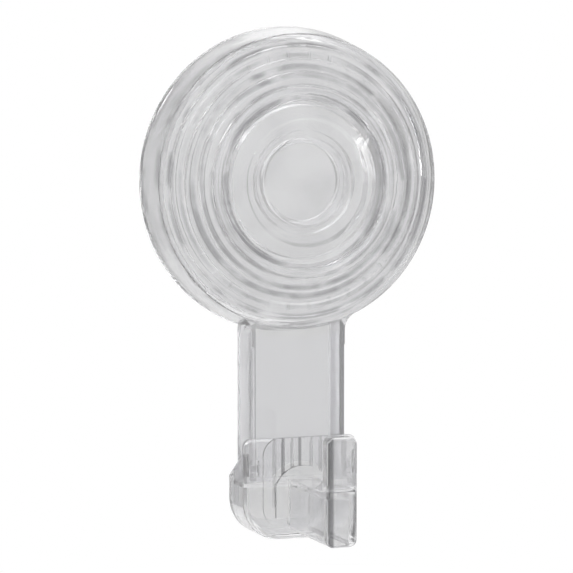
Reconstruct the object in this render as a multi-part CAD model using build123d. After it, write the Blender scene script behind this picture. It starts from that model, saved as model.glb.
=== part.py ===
from build123d import *
import math
import os

# Suction cup hook, in millimetres. Z is up, the wall is the plane y = 0 and the front faces -Y.
# The origin is on the wall, on the axis of the round disc.
# A depth below is a distance from the wall, so a point at depth d has y = -d.

# Stepped disc of the bracket
disc_radius = 42.2
disc_draft = 1.9
disc_drum_depth = 12.4
disc_wall = 1.8
step_count = 4
step_outer_radius = 37.2
step_rise = 1.2
step_edge_round = 0.4
groove_radius = 23.0
groove_width = 1.4
groove_depth = 2.6
groove_land = 2.6
button_slope = 4.6
button_rise = 2.0
button_dish = 0.5
button_flat_radius = 6.0
spine_width = 3.2
spine_reach = 3.0
tick_count = 36
tick_width = 0.6
tick_length = 2.4
tick_height = 0.7

# Soft cup behind the disc
cup_rim_thickness = 1.0
cup_rim_margin = 0.4
cup_rim_land = 7.0
cup_hollow_depth = 6.4
cup_skin = 1.9
stem_radius = 10.6
knob_radius = 12.2
knob_height = 3.7
knob_clearance = 0.3
hub_wall = 1.7
cup_swell = 0.5

# Neck of the bracket
neck_width = 27.2
neck_draft = 1.0
neck_depth = 12.2
neck_wall = 1.3
neck_back_gap = 2.4
neck_edge_round = 0.8
neck_end = 82.3
neck_blend = 5.0
neck_overlap = 8.0
notch_width = 17.4
notch_height = 5.3

# Hook that is pushed over the end of the neck
hook_top = 70.4
hook_height = 28.2
hook_wall = 1.4
hook_side_wall = 1.7
hook_corner = 10.6
hook_shoulder_round = 2.2
hook_side_start = 4.1
hook_side_drop = 11.6
hook_back_gap = 1.2
hook_edge_round = 1.1
hook_back_round = 0.5
fit_clearance = 0.3
lip_width = 2.2
shelf_thickness = 1.3
pad_width = 22.4
pad_height = 0.7
pad_corner = 4.8
pad_low_corner = 6.0
pad_margin = 3.3
flute_offsets = (2.8, 5.5, 8.0)
flute_width = 0.9
flute_depth = 0.5
window_offset = 13.3
window_width = 2.3
window_height = 4.6
window_drop = 5.9
barb_height = 2.0

# Finger of the hook
finger_width = 8.6
finger_reach = 45.4
finger_floor_drop = 11.3
finger_tip_height = 15.3
finger_skirt = 14.3
finger_wall = 1.6
finger_tip_thickness = 3.6
finger_corner = 2.0
finger_edge_round = 0.9
finger_throat_round = 2.5
arch_width = 15.6
arch_drop = 7.6
arch_rise = 5.2
arch_height = 1.0

# How far a rib runs into its wall, how far a cut runs past the face it opens, and a match of places
bite = 0.5
overcut = 1.0
tolerance = 0.01


def ring(points, rounds=0.0):
    """Solid of revolution about the disc's axis, from (radius, depth) points."""
    line = Polyline(*[(r, -d) for r, d in points], close=True)
    face = make_face(line)
    if rounds:
        inner = [v for v in face.vertices() if v.X > tolerance and v.Y < -cup_rim_thickness - tolerance]
        face = fillet(inner, rounds)
    return revolve(face, axis=Axis.Y)


def block(x0, x1, d0, d1, z0, z1):
    """Box between two values of x, of depth and of height."""
    return Pos((x0 + x1) / 2, -(d0 + d1) / 2, (z0 + z1) / 2) * Box(x1 - x0, d1 - d0, z1 - z0)


def both_sides(shape):
    """The shape and its mirror image across the middle plane."""
    return shape + mirror(shape, about=Plane.YZ)


def prism(outline, d0, d1):
    """Outline drawn in x and z, standing from depth d0 to depth d1."""
    return extrude(Pos(0, -d0, 0) * (Rot(90, 0, 0) * outline), amount=d1 - d0, dir=(0, -1, 0))


# Levels that several pieces share
face_depth = disc_drum_depth + step_count * step_rise
groove_floor = face_depth - groove_depth
groove_edge = groove_radius + groove_width / 2
step_inner_radius = groove_edge + groove_land
button_edge = groove_radius - groove_width / 2
button_top_radius = button_edge - button_slope
button_top = face_depth + button_rise
hub_floor = button_top - button_dish - disc_wall
hook_cavity_front = neck_depth + fit_clearance
hook_front = hook_cavity_front + hook_wall
hook_bottom = hook_top + hook_height
cavity_half = neck_width / 2 + neck_draft + fit_clearance
hook_half = cavity_half + hook_side_wall
pad_front = hook_front + pad_height
floor_top = hook_top + finger_floor_drop
skirt_bottom = floor_top + finger_skirt
tip_top = floor_top - finger_tip_height


def disc_profile(inset):
    """Front line of the stepped disc, moved in by inset, from the rim to the groove."""
    points = [(disc_radius - inset, cup_rim_thickness)]
    depth = disc_drum_depth - inset
    points.append((disc_radius - disc_draft - inset, depth))
    stride = (step_outer_radius - step_inner_radius) / (step_count - 1)
    for i in range(step_count):
        radius = step_outer_radius - i * stride - inset
        points.append((radius, depth))
        depth += step_rise
        points.append((radius, depth))
    return points


def disc_outer():
    """Everything inside the disc's front surface, as one solid."""
    points = disc_profile(0.0)
    points += [(groove_edge, face_depth), (groove_edge, groove_floor), (button_edge, groove_floor)]
    points += [(button_edge, face_depth), (button_top_radius, button_top)]
    points += [(button_flat_radius, button_top - button_dish), (0, button_top - button_dish)]
    points.append((0, cup_rim_thickness))
    return ring(points, step_edge_round)


def disc_hollow():
    """Space behind the stepped face that holds the cup."""
    points = disc_profile(disc_wall)
    outer = groove_edge + disc_wall
    inner = button_edge - disc_wall
    level = face_depth - disc_wall
    bend = groove_floor - disc_wall
    points += [(outer, level), (outer, bend), (inner, bend), (inner, level)]
    points += [(button_top_radius - disc_wall / 2, hub_floor), (0, hub_floor), (0, cup_rim_thickness)]
    return ring(points)


def hub():
    """Ring that grips the knob of the cup."""
    inner = knob_radius + knob_clearance
    outer = inner + hub_wall
    back = hub_floor - knob_height
    root = hub_floor + bite
    return ring([(inner, back), (outer, back), (outer, root), (inner, root)])


def spine():
    """Webs at the top and the bottom that tie the stepped rings together behind the face."""
    start = groove_radius
    half = spine_width / 2
    back = disc_drum_depth - spine_reach
    return [block(-half, half, back, button_top, start, disc_radius),
            block(-half, half, back, button_top, -disc_radius, -start)]


def ticks():
    """Short grip ribs behind the second tread."""
    outer = step_outer_radius - disc_wall
    level = disc_drum_depth + step_rise - disc_wall
    half = tick_width / 2
    rib = block(-half, half, level - tick_height, level + bite, outer - tick_length, outer + bite)
    return [Rot(0, (i + 0.5) * 360 / tick_count, 0) * rib for i in range(tick_count)]


def neck_section():
    """Outer section of the neck across its length, wider at the wall than at the front."""
    half = neck_width / 2
    wide = half + neck_draft * (neck_depth - neck_back_gap) / neck_depth
    points = [(-wide, -neck_back_gap), (-half, -neck_depth), (half, -neck_depth), (wide, -neck_back_gap)]
    front = make_face(Polyline(*points, close=True))
    return fillet([v for v in front.vertices() if v.Y < -neck_depth + tolerance], neck_edge_round)


def neck():
    """Channel that hangs from the disc, open to the wall."""
    start = disc_radius - neck_overlap
    length = neck_end - start
    inside = neck_width / 2 - neck_wall
    body = extrude(Pos(0, 0, -start) * neck_section(), amount=length, dir=(0, 0, -1))
    body -= block(-inside, inside, neck_back_gap - overcut, neck_depth - neck_wall,
                  -neck_end - overcut, -start + overcut)
    half = notch_width / 2
    arch = ThreePointArc((-half, -neck_end), (0, -neck_end + notch_height), (half, -neck_end))
    notch = make_face(arch + Line((half, -neck_end), (-half, -neck_end)))
    body -= prism(notch, 0, neck_depth + overcut)
    return body


def barbs():
    """Catches on the neck's front corners that click into the windows of the hook."""
    level = -(hook_top + window_drop + window_height / 2)
    x0 = window_offset - window_width / 2 + fit_clearance
    x1 = window_offset + window_width / 2 - fit_clearance
    front = hook_front - fit_clearance
    catch = block(x0, x1, neck_depth - neck_wall, front, level - barb_height / 2, level + barb_height / 2)
    return both_sides(catch)


def neck_blends():
    """Fillets that carry the sides of the neck into the rim of the disc."""
    radius = disc_radius - disc_draft
    half = neck_width / 2
    reach = radius + neck_blend
    shape = Circle(radius) + Pos(0, -reach / 2) * Rectangle(neck_width, reach)
    corner_z = -math.sqrt(radius**2 - half**2)
    concave = [v for v in shape.vertices() if abs(abs(v.X) - half) < tolerance
               and abs(v.Y - corner_z) < tolerance]
    shape = fillet(concave, neck_blend)
    return prism(shape - Circle(radius - disc_wall), neck_back_gap, neck_depth)


def bracket():
    """Stepped disc and neck, moulded as one."""
    full = disc_outer()
    hollow = disc_hollow() - hub() - spine() - ticks()
    start = disc_radius - neck_overlap
    channel = Pos(0, -start) * Rectangle(neck_width - neck_wall, 2 * (neck_overlap + neck_blend))
    blends = neck_blends() - full - prism(channel, 0, neck_depth + overcut)
    return (full - hollow) + (neck() - full) + blends + barbs()


def swell(edge, crown, fullness):
    """Curve from an edge point that swells and ends level at a crown point."""
    middle = (edge[0] + fullness * (crown[0] - edge[0]), crown[1])
    return Bezier((edge[0], -edge[1]), (middle[0], -middle[1]), (crown[0], -crown[1]))


def suction_cup():
    """Soft cup with a hollow towards the wall, and a knob that the bracket grips."""
    rim = disc_radius - cup_rim_margin
    land = rim - cup_rim_land
    front_edge = (land + cup_rim_land / 2, cup_rim_thickness)
    crown = (stem_radius, cup_hollow_depth + cup_skin)
    floor = (stem_radius / 2, cup_hollow_depth)
    collar = hub_floor - knob_height
    front = swell(front_edge, crown, cup_swell)
    back = swell((land, 0), floor, cup_swell)
    stem = Polyline((crown[0], -crown[1]), (stem_radius, -collar), (knob_radius, -collar),
                    (knob_radius, -hub_floor), (0, -hub_floor), (0, -floor[1]), (floor[0], -floor[1]))
    edge = Polyline((land, 0), (rim, 0), (rim, -cup_rim_thickness), (front_edge[0], -front_edge[1]))
    return revolve(make_face(edge + front + stem + back), axis=Axis.Y)


def hook_outline(inset):
    """Front outline of the hook's body, moved in by inset at the sides and the bottom."""
    half = hook_half - inset
    low = hook_bottom - inset
    shape = Pos(0, -(hook_top + low) / 2) * Rectangle(2 * half, low - hook_top)
    bottom = [v for v in shape.vertices() if v.Y < -(hook_top + low) / 2]
    return fillet(bottom, hook_corner - inset)


def hook_block():
    """Body of the hook as one block, with its shoulders rounded and its front edge eased."""
    outline = hook_outline(0.0)
    top = [v for v in outline.vertices() if v.Y > -hook_top - tolerance]
    block_shape = prism(fillet(top, hook_shoulder_round), hook_back_gap, hook_front)
    faces = block_shape.faces().sort_by(Axis.Y)
    block_shape = fillet(faces[0].edges(), hook_edge_round)
    back = block_shape.faces().sort_by(Axis.Y)[-1]
    block_shape = fillet(back.edges(), hook_back_round)
    low = -hook_top - hook_side_drop
    high = -hook_top + overcut
    slope = Polyline((-hook_cavity_front, high), (-hook_cavity_front, -hook_top - hook_side_start),
                     (-hook_back_gap, low), (0, low), (0, high), close=True)
    wedge = extrude(Plane.YZ * make_face(slope), amount=hook_half + overcut, both=True)
    return block_shape - wedge


def hook_pad():
    """Raised panel that carries the finger, fluted above the arch."""
    low = hook_bottom - pad_margin
    middle = -(hook_top + low) / 2
    outline = Pos(0, middle) * Rectangle(pad_width, low - hook_top)
    outline = fillet([v for v in outline.vertices() if v.Y > middle], pad_corner)
    outline = fillet([v for v in outline.vertices() if v.Y < middle - pad_corner], pad_low_corner)
    pad = prism(outline, hook_cavity_front + hook_wall / 2, pad_front)
    for x in flute_offsets:
        groove = block(x - flute_width / 2, x + flute_width / 2, pad_front - flute_depth, pad_front + overcut,
                       -low + pad_low_corner, -hook_top - hook_edge_round)
        pad -= both_sides(groove)
    return pad


def arch():
    """Arched root of the finger on the panel."""
    half = arch_width / 2
    low = -(hook_bottom - pad_margin - pad_low_corner / 2)
    spring = -(hook_top + arch_drop + arch_rise)
    crown = ThreePointArc((-half, spring), (0, spring + arch_rise), (half, spring))
    sides = Polyline((half, spring), (half, low), (-half, low), (-half, spring))
    return prism(make_face(crown + sides), hook_cavity_front + hook_wall / 2, pad_front + arch_height)


def finger():
    """Finger with a skirt below its floor and an upright tip."""
    half = finger_width / 2
    root = hook_cavity_front + hook_wall / 2
    side = [(-root, -floor_top), (-root, -skirt_bottom), (-finger_reach, -skirt_bottom),
            (-finger_reach, -tip_top), (-finger_reach + finger_tip_thickness, -tip_top),
            (-finger_reach + finger_tip_thickness, -floor_top)]
    face = make_face(Polyline(*side, close=True))
    throat = [v for v in face.vertices() if abs(v.X + finger_reach - finger_tip_thickness) < tolerance
              and abs(v.Y + floor_top) < tolerance]
    face = fillet(throat, finger_throat_round)
    body = extrude(Plane.YZ * face, amount=half, both=True)
    corners = [e for e in body.edges().filter_by(Axis.Y) if abs(e.center().Z + tip_top) < tolerance
               or abs(e.center().Z + skirt_bottom) < tolerance]
    body = fillet(corners, finger_corner)
    tip_face = body.faces().sort_by(Axis.Y)[0]
    body = fillet(tip_face.edges(), finger_edge_round)
    low = block(-half + finger_wall, half - finger_wall, pad_front + arch_height,
                finger_reach - finger_tip_thickness, -skirt_bottom - overcut, -floor_top - finger_wall)
    return body - low


def hook():
    """Clip-on hook: body, panel, arch and finger in one moulding."""
    inside = hook_outline(hook_side_wall)
    lip = hook_outline(hook_side_wall + lip_width)
    lip_front = neck_back_gap - fit_clearance
    shelf_top = -(neck_end + fit_clearance)
    cavity = prism(inside, lip_front, hook_cavity_front)
    cavity -= block(-hook_half, hook_half, 0, hook_front, shelf_top - shelf_thickness, shelf_top)
    mouth = -hook_top
    cavity += block(-cavity_half, cavity_half, 0, hook_cavity_front, mouth - overcut, mouth + overcut)
    body = hook_block() + hook_pad() + arch() + finger()
    body = body - cavity - prism(lip, 0, lip_front)
    top = -(hook_top + window_drop)
    half = window_width / 2
    back = hook_cavity_front - overcut
    window = block(window_offset - half, window_offset + half, back, hook_front + overcut,
                   top - window_height, top)
    return body - both_sides(window)


os.makedirs("parts", exist_ok=True)
export_step(bracket(), "parts/bracket.step")
export_step(suction_cup(), "parts/suction_cup.step")
export_step(hook(), "parts/hook.step")
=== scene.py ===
# %% [markdown]
# Suction cup hook, in Blender.
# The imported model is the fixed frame: three clear mouldings, the stepped bracket, the soft cup
# behind it and the hook that clips over the end of the bracket's neck.
# This lesson gives each one the finish of a clear moulding, and sets the studio round them.

# %% Load the frame
import math

import bmesh
import bpy
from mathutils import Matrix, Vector


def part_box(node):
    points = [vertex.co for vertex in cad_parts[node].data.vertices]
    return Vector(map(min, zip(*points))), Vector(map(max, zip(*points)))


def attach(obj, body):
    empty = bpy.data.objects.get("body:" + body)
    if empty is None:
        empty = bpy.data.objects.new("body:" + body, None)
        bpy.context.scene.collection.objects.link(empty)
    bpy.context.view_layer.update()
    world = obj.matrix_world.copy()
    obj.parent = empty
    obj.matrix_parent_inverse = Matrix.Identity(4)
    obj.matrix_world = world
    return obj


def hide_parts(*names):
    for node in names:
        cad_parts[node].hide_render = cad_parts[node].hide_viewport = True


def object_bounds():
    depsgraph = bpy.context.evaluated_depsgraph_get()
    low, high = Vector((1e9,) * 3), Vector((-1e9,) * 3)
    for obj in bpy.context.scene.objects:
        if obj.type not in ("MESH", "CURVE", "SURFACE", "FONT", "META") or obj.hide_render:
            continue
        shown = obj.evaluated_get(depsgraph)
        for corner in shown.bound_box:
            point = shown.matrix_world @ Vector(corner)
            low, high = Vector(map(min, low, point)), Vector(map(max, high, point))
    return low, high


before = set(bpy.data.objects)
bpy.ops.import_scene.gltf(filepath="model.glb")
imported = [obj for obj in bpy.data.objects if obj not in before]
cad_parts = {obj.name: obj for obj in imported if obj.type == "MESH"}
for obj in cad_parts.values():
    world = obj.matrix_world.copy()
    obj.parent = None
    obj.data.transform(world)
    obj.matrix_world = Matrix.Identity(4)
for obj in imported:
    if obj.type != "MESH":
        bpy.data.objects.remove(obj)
cad_low, cad_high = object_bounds()
MM = 0.001
print("CAD box", [round(v / MM, 1) for v in (*cad_low, *cad_high)])

# %% [markdown]
# The camera stands to the left of the hook and a little above it. It could stand close with a
# short lens, but then the rings at the front of the disc would look larger than those at the
# back. So it stands far off with a long lens. Its place is worked out from the turn and the
# height of the view, so that one value moves it.

# %% Camera
VIEW_AZIMUTH = math.radians(-20.3)
VIEW_ELEVATION = math.radians(5.15)
VIEW_DISTANCE = 831 * MM
VIEW_AIM_SIDE = 0.5 * MM
VIEW_AIM_DOWN = 29.75 * MM
VIEW_LENS = 188.5
RIM_PLANE = Vector((0, -1 * MM, 0))


def make_camera():
    """Camera that looks at the hook from the left, level and without a roll."""
    back = Vector((math.sin(VIEW_AZIMUTH) * math.cos(VIEW_ELEVATION),
                   -math.cos(VIEW_AZIMUTH) * math.cos(VIEW_ELEVATION),
                   math.sin(VIEW_ELEVATION)))
    right = Vector((math.cos(VIEW_AZIMUTH), math.sin(VIEW_AZIMUTH), 0))
    up = back.cross(right)
    aim = RIM_PLANE + VIEW_AIM_SIDE * right - VIEW_AIM_DOWN * up
    data = bpy.data.cameras.new("camera")
    data.lens = VIEW_LENS
    data.sensor_width = 36
    data.clip_start = 0.05
    camera = bpy.data.objects.new("camera", data)
    camera.location = aim + VIEW_DISTANCE * back
    camera.rotation_euler = (-back).to_track_quat("-Z", "Y").to_euler()
    bpy.context.scene.collection.objects.link(camera)
    bpy.context.scene.camera = camera
    return camera


camera = make_camera()
print("camera at", [round(v / MM) for v in camera.location])

# %% [markdown]
# The world and the finishes are built from the same few nodes, over and over. Four helpers make
# them from sockets and plain numbers, and give back the sockets of their results.

# %% Helpers for shader nodes


def maths(nodes, links, operation, *values):
    """Math node on sockets or numbers."""
    node = nodes.new("ShaderNodeMath")
    node.operation = operation
    for value, socket in zip(values, node.inputs):
        if isinstance(value, (int, float)):
            socket.default_value = value
        else:
            links.new(value, socket)
    return node.outputs[0]


def mapped(nodes, links, value, start, end, to_start=0.0, to_end=1.0, smooth=False):
    """Map Range node that takes start to to_start and end to to_end."""
    node = nodes.new("ShaderNodeMapRange")
    if smooth:
        node.interpolation_type = "SMOOTHSTEP"
    limits = {"From Min": start, "From Max": end, "To Min": to_start, "To Max": to_end}
    for name, limit in limits.items():
        node.inputs[name].default_value = limit
    links.new(value, node.inputs["Value"])
    return node.outputs["Result"]


def closeness(nodes, links, direction, aim):
    """Cosine of the angle between a direction and a fixed aim."""
    node = nodes.new("ShaderNodeVectorMath")
    node.operation = "DOT_PRODUCT"
    links.new(direction, node.inputs[0])
    node.inputs[1].default_value = Vector(aim).normalized()
    return node.outputs["Value"]


def looked_at(nodes, links):
    """1 where the eye meets a surface, straight or in or through another one, 0 for its light.

    The second socket is 1 only where the eye meets it straight.
    """
    path = nodes.new("ShaderNodeLightPath")
    seen = path.outputs["Is Camera Ray"]
    for name in ("Is Glossy Ray", "Is Transmission Ray"):
        seen = maths(nodes, links, "MAXIMUM", seen, path.outputs[name])
    return seen, path.outputs["Is Camera Ray"]


print("helpers", [f.__name__ for f in (maths, mapped, closeness, looked_at)])

# %% [markdown]
# Clear plastic has no look of its own: it shows what stands round it, bent by its walls. In a
# studio, a backdrop and cards beside it draw the dark and the bright lines along those walls.
# They could be real sheets, but those would show in other views and throw shadows. So the world
# does the same. The backdrop is a grey that changes with the angle from its middle, with a dark
# ring for its frame. Each card is a direction with a soft edge, found by a dot product, that
# darkens or brightens what lies there. The cards stay where they are when the camera moves,
# and the camera itself sees only white.

# %% Backdrop, cards and world
WORLD_LIGHT = 0.55
# The most that the white cards may make of the backdrop
BRIGHTEST = 1.6
BACKDROP_AIM = (0.35, 0.93, -0.09)
# Angle from the aim in degrees, grey
BACKDROP = (
    (0, 0.65),
    (8, 0.65),
    (20, 0.82),
    (34, 1.00),
    (44, 0.90),
    (54, 0.30),
    (66, 0.30),
    (84, 0.76),
    (180, 0.76),
)
# Name, direction, inner and outer angle of the soft edge in degrees, share of the light
CARDS = (
    ("dark card, left", (-0.10, 0.99, -0.12), 8, 22, 0.12),
    ("dark card, right", (0.62, 0.74, -0.26), 7, 16, 0.12),
    ("white card, above", (0.30, 0.87, 0.40), 6, 14, 1.50),
    ("white card, low in front", (-0.63, -0.70, -0.34), 9, 20, 2.00),
    ("white card, far left", (-0.79, 0.58, -0.20), 7, 16, 2.20),
    ("dark card, low", (0.28, 0.85, -0.45), 6, 14, 0.35),
)


def backdrop_shade(nodes, links, direction):
    """Grey of the backdrop and its frame, by the angle from the middle of the backdrop."""
    angle = maths(nodes, links, "ARCCOSINE", closeness(nodes, links, direction, BACKDROP_AIM))
    ramp = nodes.new("ShaderNodeValToRGB")
    ramp.color_ramp.interpolation = "EASE"
    stops = ramp.color_ramp.elements
    for i, (degrees, grey) in enumerate(BACKDROP):
        stop = stops[i] if i < len(stops) else stops.new(degrees / 180)
        stop.position = degrees / 180
        stop.color = (grey, grey, grey, 1)
    links.new(maths(nodes, links, "DIVIDE", angle, math.pi), ramp.inputs["Fac"])
    return ramp.outputs["Color"]


def card_shade(nodes, links, direction, aim, inner, outer, share):
    """The card's share of the light inside its inner angle, 1 outside the outer one."""
    return mapped(nodes, links, closeness(nodes, links, direction, aim),
                  math.cos(math.radians(outer)), math.cos(math.radians(inner)),
                  1.0, share, smooth=True)


def make_world():
    """White surroundings, with a backdrop and cards that show only in and through the plastic."""
    world = bpy.data.worlds.new("studio")
    bpy.context.scene.world = world
    world.use_nodes = True
    nodes, links = world.node_tree.nodes, world.node_tree.links
    nodes.clear()
    direction = nodes.new("ShaderNodeTexCoord").outputs["Generated"]
    seen, by_camera = looked_at(nodes, links)
    level = backdrop_shade(nodes, links, direction)
    for _, *card in CARDS:
        level = maths(nodes, links, "MULTIPLY", level, card_shade(nodes, links, direction, *card))
    level = maths(nodes, links, "MINIMUM", level, BRIGHTEST)
    backdrop, light = (nodes.new("ShaderNodeBackground") for _ in range(2))
    for node in (backdrop, light):
        node.inputs["Color"].default_value = (1, 1, 1, 1)
    links.new(maths(nodes, links, "MAXIMUM", level, by_camera), backdrop.inputs["Strength"])
    light.inputs["Strength"].default_value = WORLD_LIGHT
    mix = nodes.new("ShaderNodeMixShader")
    links.new(seen, mix.inputs[0])
    links.new(light.outputs[0], mix.inputs[1])
    links.new(backdrop.outputs[0], mix.inputs[2])
    out = nodes.new("ShaderNodeOutputWorld")
    links.new(mix.outputs[0], out.inputs["Surface"])


make_world()
print("cards", [row[0] for row in CARDS], "and a world light of", WORLD_LIGHT)

# %% [markdown]
# Three square soft boxes light the hook: the key at the upper left, a weaker fill at the right
# and one above and a little behind. Small lamps would give hard sparks on clear plastic, so
# these are large. They draw the white arcs on the rings and on the button's edge.

# %% Lamps
# Name, place in metres, side in metres, power in watts
LAMPS = (
    ("key", (-0.75, -0.80, 0.70), 0.45, 6.5),
    ("fill", (0.85, -0.65, 0.15), 0.40, 3.0),
    ("top", (0.05, 0.25, 0.95), 0.40, 3.0),
)
LIT_POINT = Vector((0, 0, -0.02))


def make_lamp(name, place, side, power):
    """Square soft box that faces the middle of the hook."""
    data = bpy.data.lights.new(name, "AREA")
    data.size = side
    data.energy = power
    lamp = bpy.data.objects.new(name, data)
    lamp.location = place
    lamp.rotation_euler = (LIT_POINT - Vector(place)).to_track_quat("-Z", "Y").to_euler()
    bpy.context.scene.collection.objects.link(lamp)


for row in LAMPS:
    make_lamp(*row)
print("lamps", [row[0] for row in LAMPS])

# %% [markdown]
# The floor is a plain pale round table top below the hook. It takes shadows as any surface does.
# A little light of its own lifts it to white for the eye. Much less of that light is seen
# through the plastic, which would otherwise look washed out from above. The floor ends just
# below the camera's view, so that the backdrop behind the hook is one even white.

# %% Floor
FLOOR_DROP = 60 * MM
FLOOR_RADIUS = 270 * MM
FLOOR_GREY = 0.88
FLOOR_LIFT = 0.45
FLOOR_LIFT_THROUGH_PLASTIC = 0.12
FLOOR_SIDES = 96


def make_floor():
    """Pale round floor with its shadow kept."""
    level = cad_low.z - FLOOR_DROP
    mesh = bpy.data.meshes.new("floor")
    turns = [2 * math.pi * i / FLOOR_SIDES for i in range(FLOOR_SIDES)]
    corners = [(FLOOR_RADIUS * math.cos(t), FLOOR_RADIUS * math.sin(t), level) for t in turns]
    mesh.from_pydata(corners, [], [range(FLOOR_SIDES)])
    floor = bpy.data.objects.new("floor", mesh)
    bpy.context.scene.collection.objects.link(floor)
    material = bpy.data.materials.new("pale_floor")
    material.use_nodes = True
    nodes, links = material.node_tree.nodes, material.node_tree.links
    surface = nodes["Principled BSDF"]
    surface.inputs["Base Color"].default_value = (FLOOR_GREY, FLOOR_GREY, FLOOR_GREY, 1)
    surface.inputs["Roughness"].default_value = 0.9
    surface.inputs["Specular IOR Level"].default_value = 0.0
    surface.inputs["Emission Color"].default_value = (1, 1, 1, 1)
    seen, by_camera = looked_at(nodes, links)
    lift = maths(nodes, links, "MULTIPLY", seen, FLOOR_LIFT_THROUGH_PLASTIC)
    lift = maths(nodes, links, "MULTIPLY_ADD", by_camera,
                 FLOOR_LIFT - FLOOR_LIFT_THROUGH_PLASTIC, lift)
    links.new(lift, surface.inputs["Emission Strength"])
    mesh.materials.append(material)


make_floor()
print("floor", round((cad_low.z - FLOOR_DROP) / MM, 1), "mm")

# %% [markdown]
# Clear mouldings are never quite smooth or even: the melt leaves faint waves, hazy streaks and
# cloudy patches where it cooled first. All three pieces share that effect. It could be repeated
# in each material, but as one node group it is built once, with its own wave scale in each
# finish. It puts out a mask for the haze, a height for the waves and a mask for the clouds.

# %% Moulding marks, shared by all finishes
# Settings of the Noise Texture behind each mark, and the part of its range that is used
WAVES = {"Detail": 1.5, "Distortion": 0.6}
STREAKS = {"Detail": 3.0, "Roughness": 0.6}
CLOUDS = {"Scale": 42.0, "Detail": 2.0, "Distortion": 1.2}
STREAK_RANGE = (0.42, 0.72)
CLOUD_RANGE = (0.40, 0.65)


def moulding_marks():
    """Node group: haze mask, wave height and cloud mask from a point on the piece."""
    group = bpy.data.node_groups.new("moulding_marks", "ShaderNodeTree")
    sockets = group.interface
    sockets.new_socket("Point", in_out="INPUT", socket_type="NodeSocketVector")
    for name, scale in (("Wave Scale", 90), ("Streak Scale", 260)):
        socket = sockets.new_socket(name, in_out="INPUT", socket_type="NodeSocketFloat")
        socket.default_value = scale
    for name in ("Haze", "Height", "Cloud"):
        sockets.new_socket(name, in_out="OUTPUT", socket_type="NodeSocketFloat")
    nodes, links = group.nodes, group.links
    given = nodes.new("NodeGroupInput")
    made = nodes.new("NodeGroupOutput")
    noises = []
    for settings in (WAVES, STREAKS, CLOUDS):
        noise = nodes.new("ShaderNodeTexNoise")
        for name, value in settings.items():
            noise.inputs[name].default_value = value
        links.new(given.outputs["Point"], noise.inputs["Vector"])
        noises.append(noise)
    waves, streaks, clouds = noises
    links.new(given.outputs["Wave Scale"], waves.inputs["Scale"])
    links.new(given.outputs["Streak Scale"], streaks.inputs["Scale"])
    links.new(waves.outputs["Fac"], made.inputs["Height"])
    links.new(mapped(nodes, links, streaks.outputs["Fac"], *STREAK_RANGE), made.inputs["Haze"])
    links.new(mapped(nodes, links, clouds.outputs["Fac"], *CLOUD_RANGE), made.inputs["Cloud"])
    return group


MARKS = moulding_marks()
print("group", MARKS.name)

# %% [markdown]
# The three mouldings are clear, but not colourless: each wall takes some of the light, the
# neck's most and the soft cup's least. A Principled surface bends the light as the plastic
# does, and its small milky share keeps the dark lines grey. Where a wall is seen at a low angle,
# Layer Weight deepens the tint towards a dark edge colour. A little of that is the longer path
# through the plastic, and most is painted shade that darkens the edges of clear plastic. Lamps
# get past it through a Transparent surface that only their shadow rays meet. A tint is one
# colour, or a function that builds it from nodes, painted shade included, and also says where the
# waves lie still.

# %% Clear finishes
EDGE_BLEND = 0.35
EDGE_NARROWING = 6.0
SHADOW_TINT = (0.9, 0.9, 0.9)


def mixed(nodes, links, factor, first, second):
    """Mix of two colours, where either may be a socket."""
    mix = nodes.new("ShaderNodeMix")
    mix.data_type = "RGBA"
    links.new(factor, mix.inputs["Factor"])
    for socket, value in ((mix.inputs["A"], first), (mix.inputs["B"], second)):
        if isinstance(value, tuple):
            socket.default_value = (*value, 1)
        else:
            links.new(value, socket)
    return mix.outputs["Result"]


def clear_finish(name, tint, edge_shade, clarity, roughness, haze, ior, wave_depth, wave_scale):
    """Clear plastic with painted edge shade. The tint is a colour, or a function that returns a
    tint with painted shade in it and a calm mask.
    """
    material = bpy.data.materials.new(name)
    material.use_nodes = True
    nodes, links = material.node_tree.nodes, material.node_tree.links
    surface = nodes["Principled BSDF"]
    surface.inputs["IOR"].default_value = ior
    surface.inputs["Transmission Weight"].default_value = clarity
    place = nodes.new("ShaderNodeTexCoord")
    marks = nodes.new("ShaderNodeGroup")
    marks.node_tree = MARKS
    marks.inputs["Wave Scale"].default_value = wave_scale
    links.new(place.outputs["Object"], marks.inputs["Point"])
    calm = None
    if callable(tint):
        tint, calm = tint(nodes, links, place.outputs["Object"], marks)
    # Darker where seen at a low angle: mostly painted edge shade, a little the longer path
    # through the plastic
    facing = nodes.new("ShaderNodeLayerWeight")
    facing.inputs["Blend"].default_value = EDGE_BLEND
    edge = maths(nodes, links, "POWER", facing.outputs["Facing"], EDGE_NARROWING)
    links.new(mixed(nodes, links, edge, tint, edge_shade), surface.inputs["Base Color"])
    rough = mapped(nodes, links, marks.outputs["Haze"], 0.0, 1.0, roughness, roughness + haze)
    links.new(rough, surface.inputs["Roughness"])
    waves = marks.outputs["Height"]
    if calm:
        waves = maths(nodes, links, "MULTIPLY", waves, calm)
    bump = nodes.new("ShaderNodeBump")
    bump.inputs["Strength"].default_value = 1.0
    bump.inputs["Distance"].default_value = wave_depth
    links.new(waves, bump.inputs["Height"])
    links.new(bump.outputs["Normal"], surface.inputs["Normal"])
    path = nodes.new("ShaderNodeLightPath")
    passed = nodes.new("ShaderNodeBsdfTransparent")
    passed.inputs["Color"].default_value = (*SHADOW_TINT, 1)
    mix = nodes.new("ShaderNodeMixShader")
    links.new(path.outputs["Is Shadow Ray"], mix.inputs[0])
    links.new(surface.outputs[0], mix.inputs[1])
    links.new(passed.outputs[0], mix.inputs[2])
    links.new(mix.outputs[0], nodes["Material Output"].inputs["Surface"])
    return material


print("clear_finish takes a name, two tints and six plain values")

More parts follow.
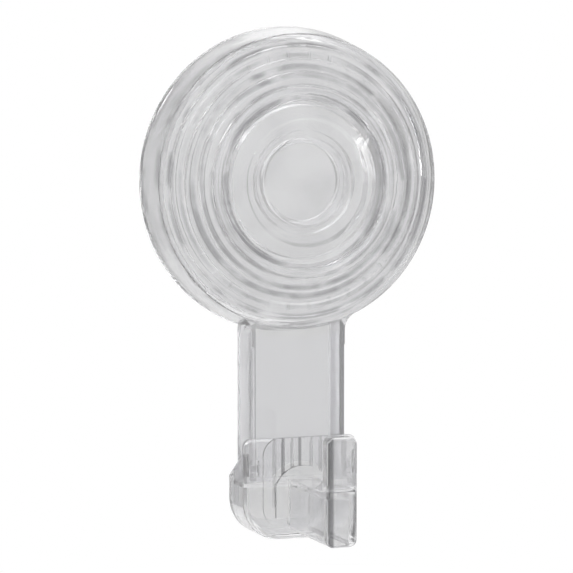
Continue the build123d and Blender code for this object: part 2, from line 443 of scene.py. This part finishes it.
# %% [markdown]
# The dark lines that the bent light shows at rings, flutes and walls seen end on are painted
# shade here: darker bands with soft edges. One Color Ramp along a distance makes a whole row of
# them, with four stops for each band. A ramp holds 32 stops, which is room for seven bands and
# its two ends.

# %% Bands along a distance
BAND_FLAT = 0.45


def bands(nodes, links, value, rows, low, high):
    """Mask with a soft band for each (middle, half width, depth) row in mm, from low to high."""
    ramp = nodes.new("ShaderNodeValToRGB")
    stops = ramp.color_ramp.elements
    for stop, place in zip(stops, (0, 1)):
        stop.position = place
        stop.color = (0, 0, 0, 1)
    for middle, half, depth in rows:
        for part, level in ((-1, 0), (-BAND_FLAT, depth), (BAND_FLAT, depth), (1, 0)):
            stop = stops.new((middle + part * half - low) / (high - low))
            stop.color = (level, level, level, 1)
    links.new(mapped(nodes, links, value, low * MM, high * MM), ramp.inputs["Fac"])
    return ramp.outputs["Color"]


print("a band is flat over", BAND_FLAT, "of its width")

# %% [markdown]
# The bracket is one moulding, but its disc and neck don't look alike. The disc is thin, wavy and
# a little cloudy. Painted shade draws dark lines at the edges of its rings, where the bent light
# shows dark, broken up where the waves are low.
# The neck is even and deeper in tint. Rings and neck could each have a material of their own,
# but both follow the distance from the disc's axis. So one tint is worked out from that, and
# needs no picture and no unwrapping.

# %% Tint and painted ring shade of the bracket
NECK_TINT = (0.855, 0.855, 0.87)
DISC_TINT = (0.875, 0.875, 0.88)
CLOUD_TINT = (0.80, 0.80, 0.805)
# Painted shade: the dark lines that bent light shows at the ring edges, the groove and the rim
PAINTED_RING_SHADE = (0.36, 0.36, 0.37)
# Radius and half width in mm, depth of the painted shade
RING_SHADE_LINES = (
    (23.0, 1.2, 0.9),
    (26.3, 0.7, 0.6),
    (29.0, 0.8, 0.75),
    (31.4, 1.0, 0.72),
    (34.5, 0.7, 0.45),
    (37.2, 0.9, 0.75),
    (40.3, 0.5, 0.80),
)
RING_SPAN = (0, 50)
RING_BREAK = (0.40, 0.58)
RING_LEAST = 0.15
NECK_BLEND = 2 * MM


def bracket_tint_and_shade(nodes, links, point, marks):
    """Pale in the disc, deeper in the neck, painted shade along the rings, and calm in the neck.
    """
    flat = nodes.new("ShaderNodeVectorMath")
    flat.operation = "MULTIPLY"
    flat.inputs[1].default_value = (1, 0, 1)
    links.new(point, flat.inputs[0])
    length = nodes.new("ShaderNodeVectorMath")
    length.operation = "LENGTH"
    links.new(flat.outputs[0], length.inputs[0])
    radius = length.outputs["Value"]
    broken = mapped(nodes, links, marks.outputs["Height"], *RING_BREAK, to_start=RING_LEAST)
    rings = bands(nodes, links, radius, RING_SHADE_LINES, *RING_SPAN)
    # Painted shade along the rings, broken up where the waves are low
    painted_shade = maths(nodes, links, "MULTIPLY", rings, broken)
    uneven = mixed(nodes, links, marks.outputs["Cloud"], DISC_TINT, CLOUD_TINT)
    disc = mixed(nodes, links, painted_shade, uneven, PAINTED_RING_SHADE)
    past_rim = mapped(nodes, links, radius, cad_high.x, cad_high.x + NECK_BLEND)
    calm = maths(nodes, links, "SUBTRACT", 1.0, past_rim)
    return mixed(nodes, links, past_rim, disc, NECK_TINT), calm


print("rings at", [row[0] for row in RING_SHADE_LINES], "mm")

# %% [markdown]
# The hook's panel has upright flutes, and the two walls under its finger are seen end on beside
# the tip. Both show as dark upright lines, which the bent light alone draws too faintly. So they
# are painted as shade, with dark bands across the hook. Bands along the other two axes keep them
# to the one face and the heights where they belong. One more dark line is painted near the
# middle of the panel, where there is no flute.

# %% Tint and painted line shade of the hook
HOOK_TINT = (0.875, 0.875, 0.88)
HOOK_CLOUD_TINT = (0.80, 0.80, 0.81)
# Dark colour of the painted shade along the flutes and the finger's wall ends
PAINTED_LINE_SHADE = (0.16, 0.16, 0.165)
# Middle and half width in mm, depth of the painted shade, here and in the rows below
PANEL_SHADE_LINES = (
    (-8.0, 0.5, 0.45),
    (-5.5, 0.6, 0.95),
    (-2.8, 0.4, 0.60),
    # No flute lies at -0.6 mm: this row only darkens a line near the middle of the panel
    (-0.6, 0.6, 0.90),
    (2.8, 0.4, 0.55),
    (5.5, 0.5, 0.50),
    (8.0, 0.5, 0.45),
)
FLUTED_FACE = ((-14.4, 1.2, 1.0),)
FLUTED_HEIGHT = ((-77.0, 14.0, 1.0),)
# Painted shade where the finger's walls are seen end on
WALL_END_SHADE_LINES = ((-3.3, 1.1, 1.0), (3.6, 0.8, 0.3))
TIP_FACE = ((-45.4, 1.5, 1.0),)
TIP_HEIGHT = ((-81.0, 35.0, 1.0),)
SPAN_ACROSS = (-20, 20)
SPAN_ALONG = (-60, 0)
SPAN_UP = (-120, 0)


def hook_tint_and_shade(nodes, links, point, marks):
    """Painted shade along the flutes of the panel, near its middle, and where the finger's walls
    are seen end on.
    """
    split = nodes.new("ShaderNodeSeparateXYZ")
    links.new(point, split.inputs[0])
    masks = []
    for rows, face, heights in ((PANEL_SHADE_LINES, FLUTED_FACE, FLUTED_HEIGHT),
                                (WALL_END_SHADE_LINES, TIP_FACE, TIP_HEIGHT)):
        mask = bands(nodes, links, split.outputs["X"], rows, *SPAN_ACROSS)
        for axis, limits, span in (("Y", face, SPAN_ALONG), ("Z", heights, SPAN_UP)):
            kept = bands(nodes, links, split.outputs[axis], limits, *span)
            mask = maths(nodes, links, "MULTIPLY", mask, kept)
        masks.append(mask)
    painted_shade = maths(nodes, links, "MAXIMUM", *masks)
    uneven = mixed(nodes, links, marks.outputs["Cloud"], HOOK_TINT, HOOK_CLOUD_TINT)
    return mixed(nodes, links, painted_shade, uneven, PAINTED_LINE_SHADE), None


print("flutes at", [row[0] for row in PANEL_SHADE_LINES], "mm")

# %% [markdown]
# One finish could serve all three, but they don't look alike. The bracket and the hook are the
# same hard, polished plastic, and the bracket's large thin disc has the deeper waves. The cup is
# softer and hazier, so it scatters more of the light.

# %% The three finishes
# Dark edge colours: painted shade at low angles, a little of it the longer path through the
# plastic
BRACKET_EDGE_SHADE = (0.45, 0.45, 0.47)
CUP_TINT = (0.90, 0.90, 0.905)
CUP_EDGE_SHADE = (0.62, 0.62, 0.63)
HOOK_EDGE_SHADE = (0.46, 0.46, 0.48)

BRACKET_FINISH = clear_finish(
    "clear_bracket", bracket_tint_and_shade, BRACKET_EDGE_SHADE, clarity=0.90, roughness=0.02, haze=0.04,
    ior=1.49, wave_depth=0.00025, wave_scale=110)
CUP_FINISH = clear_finish(
    "clear_cup", CUP_TINT, CUP_EDGE_SHADE, clarity=0.86, roughness=0.06, haze=0.08,
    ior=1.50, wave_depth=0.00010, wave_scale=90)
HOOK_FINISH = clear_finish(
    "clear_hook", hook_tint_and_shade, HOOK_EDGE_SHADE, clarity=0.90, roughness=0.015, haze=0.03,
    ior=1.49, wave_depth=0.00005, wave_scale=130)
print("finishes", [m.name for m in (BRACKET_FINISH, CUP_FINISH, HOOK_FINISH)])

# %% [markdown]
# The soft cup is turned: every point of its outline keeps one distance from the axis. Geometry
# Nodes do that well. The outline is a line of points, its corners are rounded by a Fillet Curve
# that reads a radius from each point, and Curve to Mesh carries it round a circle.

# %% A tree that turns an outline about the axis of the disc
# The circle that carries the outline round, from which the outline's own points are counted
PATH_RADIUS = 10 * MM
WELD = 0.001 * MM


def turning_tree():
    """Geometry Nodes tree: outline in, turned skin out."""
    tree = bpy.data.node_groups.new("turned_skin", "GeometryNodeTree")
    sockets = tree.interface
    sockets.new_socket("Outline", in_out="INPUT", socket_type="NodeSocketGeometry")
    for name, count in (("Segments", 160), ("Arc Steps", 5)):
        socket = sockets.new_socket(name, in_out="INPUT", socket_type="NodeSocketInt")
        socket.default_value = count
    sockets.new_socket("Finish", in_out="INPUT", socket_type="NodeSocketMaterial")
    sockets.new_socket("Skin", in_out="OUTPUT", socket_type="NodeSocketGeometry")
    nodes, links = tree.nodes, tree.links
    given = nodes.new("NodeGroupInput")
    made = nodes.new("NodeGroupOutput")
    line = nodes.new("GeometryNodeMeshToCurve")
    radius = nodes.new("GeometryNodeInputNamedAttribute")
    radius.data_type = "FLOAT"
    radius.inputs["Name"].default_value = "round"
    fillet = nodes.new("GeometryNodeFilletCurve")
    fillet.mode = "POLY"
    fillet.inputs["Limit Radius"].default_value = True
    path = nodes.new("GeometryNodeCurvePrimitiveCircle")
    path.inputs["Radius"].default_value = PATH_RADIUS
    sweep = nodes.new("GeometryNodeCurveToMesh")
    weld = nodes.new("GeometryNodeMergeByDistance")
    weld.inputs["Distance"].default_value = WELD
    real = nodes.new("GeometryNodeRealizeInstances")
    paint = nodes.new("GeometryNodeSetMaterial")
    links.new(given.outputs["Outline"], line.inputs[0])
    links.new(line.outputs[0], fillet.inputs["Curve"])
    links.new(given.outputs["Arc Steps"], fillet.inputs["Count"])
    links.new(radius.outputs["Attribute"], fillet.inputs["Radius"])
    links.new(given.outputs["Segments"], path.inputs["Resolution"])
    links.new(path.outputs["Curve"], sweep.inputs["Curve"])
    links.new(fillet.outputs[0], sweep.inputs["Profile Curve"])
    links.new(sweep.outputs[0], weld.inputs["Geometry"])
    links.new(weld.outputs[0], real.inputs[0])
    links.new(real.outputs[0], paint.inputs["Geometry"])
    links.new(given.outputs["Finish"], paint.inputs["Material"])
    links.new(paint.outputs[0], made.inputs[0])
    return tree


TURNING = turning_tree()
TURNING_INPUTS = {item.name: item.identifier for item in TURNING.interface.items_tree
                  if item.in_out == "INPUT"}
print("tree", TURNING.name, "with inputs", list(TURNING_INPUTS))

# %% [markdown]
# The tree's result is still live on its object. It becomes a plain mesh, its axis is laid along
# Y, and its normals are made to point outwards. The volume and the count of open edges are
# printed, because a skin with a hole or turned inside out refracts wrongly.

# %% Turn an outline into a piece
SOFT_CREASE = math.radians(28)


def plain_mesh(piece):
    """The evaluated mesh of a piece, with its modifiers taken off."""
    bpy.context.view_layer.update()
    graph = bpy.context.evaluated_depsgraph_get()
    mesh = bpy.data.meshes.new_from_object(piece.evaluated_get(graph))
    piece.modifiers.clear()
    mesh.name = piece.name
    return mesh


def tidy_normals(piece, crease):
    """Faces outwards, smooth but for edges sharper than the crease."""
    shape = bmesh.new()
    shape.from_mesh(piece.data)
    bmesh.ops.remove_doubles(shape, verts=shape.verts, dist=WELD)
    bmesh.ops.recalc_face_normals(shape, faces=shape.faces)
    open_edges = sum(len(edge.link_faces) != 2 for edge in shape.edges)
    volume = shape.calc_volume()
    shape.to_mesh(piece.data)
    shape.free()
    piece.data.shade_smooth()
    piece.data.set_sharp_from_angle(angle=crease)
    print(piece.name, len(piece.data.polygons), "faces,", open_edges, "open edges,",
          round(volume / MM**3), "cubic mm")


def turned(name, outline, finish):
    """Closed turned piece from (radius, depth, corner radius) points in millimetres."""
    mesh = bpy.data.meshes.new(name + "_outline")
    points = [((r * MM) - PATH_RADIUS, d * MM, 0) for r, d, _ in outline]
    mesh.from_pydata(points, [(i, i + 1) for i in range(len(points) - 1)], [])
    rounds = mesh.attributes.new("round", "FLOAT", "POINT")
    rounds.data.foreach_set("value", [corner * MM for _, _, corner in outline])
    piece = bpy.data.objects.new(name, mesh)
    bpy.context.scene.collection.objects.link(piece)
    modifier = piece.modifiers.new("turn", "NODES")
    modifier.node_group = TURNING
    modifier[TURNING_INPUTS["Finish"]] = finish
    skin = plain_mesh(piece)
    for vertex in skin.vertices:
        x, y, z = vertex.co
        vertex.co = (x, z, y)
    piece.data = skin
    tidy_normals(piece, SOFT_CREASE)
    return piece


print("turned pieces stay sharp over", round(math.degrees(SOFT_CREASE)), "degrees")

# %% [markdown]
# The cup is one soft moulding: a flat rim that lies on the wall, a hollow that is pressed empty,
# and a stem with a knob that the bracket's ring grips. Its skin is thick in the middle and thin
# at the rim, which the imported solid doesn't show, and which bends the light behind the disc. It
# stands a hair clear of the bracket, because two clear skins in one place would show as black.

# %% Soft cup
# Sizes in millimetres
CUP_GAP = 0.15
CUP_RIM_THICKNESS = 1.0
CUP_RIM_LAND = 7.0
CUP_HOLLOW = 4.6
CUP_CROWN = 8.3
STEM_RADIUS = 10.6
KNOB_RADIUS = 12.2
KNOB_HEIGHT = 3.7
SWELL_STEPS = 18
WALL_EDGE_ROUND = 0.15
RIM_ROUND = 0.4
STEM_FOOT_ROUND = 1.0
COLLAR_ROUND = 0.4
KNOB_BACK_ROUND = 0.5
KNOB_FRONT_ROUND = 0.8

cup_low, cup_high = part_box("suction_cup")
cup_radius = cup_high.x / MM
knob_front = -cup_low.y / MM


def swell(edge, crown):
    """Points of a curve that leaves an edge straight and comes level at the crown."""
    middle = ((edge[0] + crown[0]) / 2, crown[1])
    points = []
    for i in range(SWELL_STEPS + 1):
        t = i / SWELL_STEPS
        parts = ((1 - t)**2, 2 * t * (1 - t), t**2)
        r, d = (sum(w * p[k] for w, p in zip(parts, (edge, middle, crown))) for k in (0, 1))
        points.append((r, d, 0.0))
    return points


def cup_outline():
    """Outline of the cup from the middle of its hollow, round the rim, to the knob's face."""
    land = cup_radius - CUP_RIM_LAND
    collar = knob_front - KNOB_HEIGHT
    face = knob_front - CUP_GAP
    front = CUP_RIM_THICKNESS - CUP_GAP
    points = [(0, CUP_HOLLOW, 0)]
    points += reversed(swell((land, 0), (STEM_RADIUS / 2, CUP_HOLLOW)))
    points += [(cup_radius, 0, WALL_EDGE_ROUND), (cup_radius, front, RIM_ROUND)]
    points += swell((land + CUP_RIM_LAND / 2, front), (STEM_RADIUS, CUP_CROWN))
    points[-1] = (*points[-1][:2], STEM_FOOT_ROUND)
    points += [(STEM_RADIUS, collar, COLLAR_ROUND), (KNOB_RADIUS, collar, KNOB_BACK_ROUND),
               (KNOB_RADIUS, face, KNOB_FRONT_ROUND), (0, face, 0)]
    return points


cup = turned("soft_cup", cup_outline(), CUP_FINISH)
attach(cup, "root")
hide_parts("suction_cup")

# %% [markdown]
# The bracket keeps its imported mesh. A new one could be turned and bevelled, but the packed
# curves are fine enough to look through, and their edges are already rounded. It only takes
# the clear finish in its own material slot.

# %% Bracket
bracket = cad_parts["bracket"]
bracket.data.materials.clear()
bracket.data.materials.append(BRACKET_FINISH)
print("bracket", len(bracket.data.polygons), "faces")

# %% [markdown]
# Many of the hook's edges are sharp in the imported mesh, but no moulding has a truly sharp edge,
# and on clear plastic the small rounds are what draws the shape. So a copy is welded, its flat
# faces are joined, and a Bevel rounds what is left of the sharp edges. The rounds would pull the
# shading of the flat faces with them, so Weighted Normal gives it back to the large faces.

# %% Hook
HOOK_ROUND = 0.25 * MM
HOOK_ROUND_STEPS = 3
HOOK_CREASE = math.radians(40)
FLAT_ENOUGH = math.radians(0.2)
LARGE_FACES_ONLY = 100


def rounded_copy(node, name, width):
    """Welded copy of a CAD node with its sharp edges rounded."""
    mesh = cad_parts[node].data.copy()
    mesh.name = name
    shape = bmesh.new()
    shape.from_mesh(mesh)
    bmesh.ops.remove_doubles(shape, verts=shape.verts, dist=WELD)
    bmesh.ops.dissolve_limit(shape, angle_limit=FLAT_ENOUGH, verts=shape.verts,
                             edges=shape.edges)
    shape.to_mesh(mesh)
    shape.free()
    piece = bpy.data.objects.new(name, mesh)
    bpy.context.scene.collection.objects.link(piece)
    bevel = piece.modifiers.new("round", "BEVEL")
    bevel.width = width
    bevel.segments = HOOK_ROUND_STEPS
    bevel.limit_method = "ANGLE"
    bevel.angle_limit = HOOK_CREASE
    bevel.use_clamp_overlap = True
    piece.data = plain_mesh(piece)
    tidy_normals(piece, HOOK_CREASE)
    even = piece.modifiers.new("even", "WEIGHTED_NORMAL")
    even.keep_sharp = True
    even.weight = LARGE_FACES_ONLY
    piece.data = plain_mesh(piece)
    return piece


hook = rounded_copy("hook", "clip_hook", HOOK_ROUND)
hook.data.materials.clear()
hook.data.materials.append(HOOK_FINISH)
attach(hook, "root")
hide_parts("hook")

# %% [markdown]
# Last, the colours are shown as they are written, without a film look.

# %% Colour settings
bpy.context.scene.view_settings.view_transform = "Standard"
